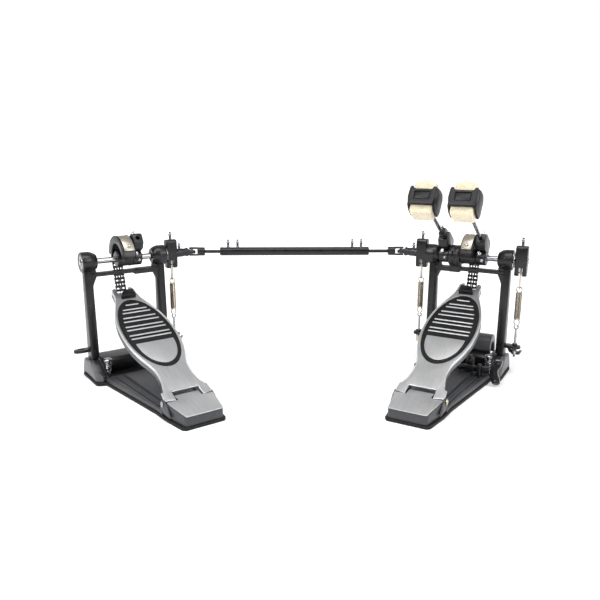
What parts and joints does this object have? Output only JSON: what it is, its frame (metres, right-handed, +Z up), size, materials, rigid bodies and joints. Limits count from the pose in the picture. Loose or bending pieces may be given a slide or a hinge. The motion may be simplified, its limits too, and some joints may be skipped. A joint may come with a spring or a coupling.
{
  "type": "twin bass drum pedal",
  "caption": "Twin bass drum pedal: main pedal with two felt beaters and hoop clamp, and a remote left pedal joined by a telescoping shaft with universal joints.",
  "frame": {"origin": "on the floor, bottom centre of the bounding box", "axes": "+Z up, +X along the drive shaft from the left pedal to the main pedal, +Y towards the drum"},
  "size_m": [0.7828, 0.3462, 0.3424],
  "materials": {
    "brushed_aluminium": "brushed lengthwise, satin",
    "black_casting": "satin black paint on cast metal",
    "grey_casting": "dark grey satin paint",
    "chrome": "polished",
    "black_rubber": "matt",
    "nickel_plate": "warm nickel plate",
    "cream_felt": "pressed wool felt",
    "black_plastic": "moulded, slight sheen",
    "spring_steel": "wound wire",
    "black_steel": "blackened steel",
    "gloss_black": "gloss enamel"
  },
  "bodies": {
    "right_frame": {"right_base": "grey_casting", "right_posts": "black_casting", "right_sole": "black_rubber", "right_heel_plate": "brushed_aluminium", "right_hinge_pin": "nickel_plate", "right_bearing": "chrome", "right_eyebolt": "chrome", "slave_eyebolt": "chrome"},
    "right_footboard": {"right_footboard": "brushed_aluminium", "right_pad": "black_rubber", "right_toe_block": "black_plastic"},
    "right_rotor": {"right_axle": "chrome", "right_drive_cam": "black_casting", "right_cam_plate": "nickel_plate", "right_clamp": "black_casting", "right_spring_cam": "black_casting", "right_chain_wrap": "black_steel"},
    "right_chain": {"right_chain_run": "black_steel"},
    "right_spring": {"right_spring": "spring_steel"},
    "slave_spring": {"slave_spring": "spring_steel"},
    "master_beater": {"master_beater_rod": "chrome", "master_beater_core": "black_plastic", "master_beater_felt": "cream_felt"},
    "slave_rotor": {"right_yoke": "black_steel", "slave_clamp": "black_casting", "slave_spring_cam": "black_casting"},
    "slave_beater": {"slave_beater_rod": "chrome", "slave_beater_core": "black_plastic", "slave_beater_felt": "cream_felt"},
    "hoop_jaw": {"hoop_jaw": "grey_casting"},
    "hoop_clamp_screw": {"hoop_clamp_screw": "gloss_black"},
    "right_spur_l": {"right_spur_l": "chrome"},
    "right_spur_r": {"right_spur_r": "chrome"},
    "left_frame": {"left_base": "grey_casting", "left_posts": "black_casting", "left_sole": "black_rubber", "left_heel_plate": "brushed_aluminium", "left_hinge_pin": "nickel_plate", "left_bearing": "chrome", "left_eyebolt": "chrome"},
    "left_footboard": {"left_footboard": "brushed_aluminium", "left_pad": "black_rubber", "left_toe_block": "black_plastic"},
    "left_rotor": {"left_axle": "chrome", "left_drive_cam": "black_casting", "left_cam_plate": "nickel_plate", "left_clamp": "black_casting", "left_spring_cam": "black_casting", "left_chain_wrap": "black_steel", "left_yoke": "black_steel"},
    "left_chain": {"left_chain_run": "black_steel"},
    "left_spring": {"left_spring": "spring_steel"},
    "left_spur_l": {"left_spur_l": "chrome"},
    "left_spur_r": {"left_spur_r": "chrome"},
    "shaft": {"shaft_tube": "black_casting", "fork_right": "black_steel", "cross_right": "chrome"},
    "shaft_inner": {"fork_left": "black_steel", "cross_left": "chrome"}
  },
  "joints": [
    {"name": "shaft_length", "type": "slide", "parent": "right_frame", "child": "left_frame", "axis": [1, 0, 0], "range_m": [-0.06, 0.02]},
    {"name": "right_footboard_hinge", "type": "hinge", "parent": "right_frame", "child": "right_footboard", "pos_m": [0.18062, -0.10685, 0.0234], "axis": [0.8573, -0.5149, 0], "range_deg": [-5.5, 0]},
    {"name": "right_chain_link", "type": "hinge", "parent": "right_rotor", "child": "right_chain", "pos_m": [0.32185, 0.1283, 0.2035], "axis": [0.8573, -0.5149, 0], "range_deg": [0, 64], "deforming": ["right_chain_run"]},
    {"name": "right_spring_swing", "type": "hinge", "parent": "right_frame", "child": "right_spring", "pos_m": [0.37851, 0.05076, 0.088], "axis": [0.8573, -0.5149, 0], "range_deg": [0, 8.4], "deforming": ["right_spring"]},
    {"name": "right_spur_l_travel", "type": "slide", "parent": "right_frame", "child": "right_spur_l", "axis": [0, 0, 1], "range_m": [-0.002, 0.006]},
    {"name": "right_spur_r_travel", "type": "slide", "parent": "right_frame", "child": "right_spur_r", "axis": [0, 0, 1], "range_m": [-0.002, 0.006]},
    {"name": "left_footboard_hinge", "type": "hinge", "parent": "left_frame", "child": "left_footboard", "pos_m": [-0.17439, -0.10568, 0.0234], "axis": [0.8232, 0.5677, 0], "range_deg": [-5.5, 0]},
    {"name": "left_chain_link", "type": "hinge", "parent": "left_rotor", "child": "left_chain", "pos_m": [-0.33012, 0.12013, 0.2035], "axis": [0.8232, 0.5677, 0], "range_deg": [0, 64], "deforming": ["left_chain_run"]},
    {"name": "left_spring_swing", "type": "hinge", "parent": "left_frame", "child": "left_spring", "pos_m": [-0.23609, 0.13967, 0.088], "axis": [0.8232, 0.5677, 0], "range_deg": [0, 8.4], "deforming": ["left_spring"]},
    {"name": "left_spur_l_travel", "type": "slide", "parent": "left_frame", "child": "left_spur_l", "axis": [0, 0, 1], "range_m": [-0.002, 0.006]},
    {"name": "left_spur_r_travel", "type": "slide", "parent": "left_frame", "child": "left_spur_r", "axis": [0, 0, 1], "range_m": [-0.002, 0.006]},
    {"name": "master_swing", "type": "hinge", "parent": "right_frame", "child": "right_rotor", "pos_m": [0.30265, 0.09632, 0.205], "axis": [0.8573, -0.5149, 0], "range_deg": [-50, 0], "stiffness_Nm_per_rad": 0.6, "springref_deg": 28.65},
    {"name": "slave_swing", "type": "hinge", "parent": "right_frame", "child": "slave_rotor", "pos_m": [0.30265, 0.09632, 0.205], "axis": [0.8573, -0.5149, 0], "range_deg": [-50, 0], "stiffness_Nm_per_rad": 0.6, "springref_deg": 28.65},
    {"name": "left_swing", "type": "hinge", "parent": "left_frame", "child": "left_rotor", "pos_m": [-0.30894, 0.08942, 0.205], "axis": [0.8232, 0.5677, 0], "range_deg": [-50, 0], "stiffness_Nm_per_rad": 0.3, "springref_deg": 28.65},
    {"name": "slave_spring_swing", "type": "hinge", "parent": "right_frame", "child": "slave_spring", "pos_m": [0.22678, 0.14189, 0.088], "axis": [0.8573, -0.5149, 0], "range_deg": [0, 8.4], "deforming": ["slave_spring"]},
    {"name": "master_beater_height", "type": "slide", "parent": "right_rotor", "child": "master_beater", "axis": [-0.4359, -0.7258, 0.5321], "range_m": [-0.015, 0.015]},
    {"name": "slave_beater_height", "type": "slide", "parent": "slave_rotor", "child": "slave_beater", "axis": [-0.4359, -0.7258, 0.5321], "range_m": [-0.015, 0.015]},
    {"name": "hoop_jaw_tilt", "type": "hinge", "parent": "right_frame", "child": "hoop_jaw", "pos_m": [0.30677, 0.10318, 0.027], "axis": [0.8573, -0.5149, 0], "range_deg": [-4, 0], "stiffness_Nm_per_rad": 0.2, "springref_deg": 20.05},
    {"name": "hoop_clamp_screw_turn", "type": "hinge", "parent": "right_frame", "child": "hoop_clamp_screw", "pos_m": [0.26532, 0.03417, 0.0248], "axis": [0.8573, -0.5149, 0], "continuous": true},
    {"name": "shaft_spin", "type": "hinge", "parent": "right_frame", "child": "shaft", "pos_m": [0.19076, 0.16352, 0.205], "axis": [1, 0, 0], "range_deg": [-50, 0]},
    {"name": "shaft_inner_spin", "type": "hinge", "parent": "left_frame", "child": "shaft_inner", "pos_m": [-0.20151, 0.16352, 0.205], "axis": [1, 0, 0], "range_deg": [-50, 0]}
  ],
  "couplings": [
    {"joint": "right_footboard_hinge", "follows": "master_swing", "ratio": 0.11},
    {"joint": "right_chain_link", "follows": "master_swing", "ratio": -1.28},
    {"joint": "right_spring_swing", "follows": "master_swing", "ratio": -0.168},
    {"joint": "left_swing", "follows": "slave_swing", "ratio": 1},
    {"joint": "left_footboard_hinge", "follows": "slave_swing", "ratio": 0.11},
    {"joint": "left_chain_link", "follows": "slave_swing", "ratio": -1.28},
    {"joint": "left_spring_swing", "follows": "slave_swing", "ratio": -0.168},
    {"joint": "slave_spring_swing", "follows": "slave_swing", "ratio": -0.168},
    {"joint": "shaft_spin", "follows": "slave_swing", "ratio": 1},
    {"joint": "shaft_inner_spin", "follows": "slave_swing", "ratio": 1}
  ]
}
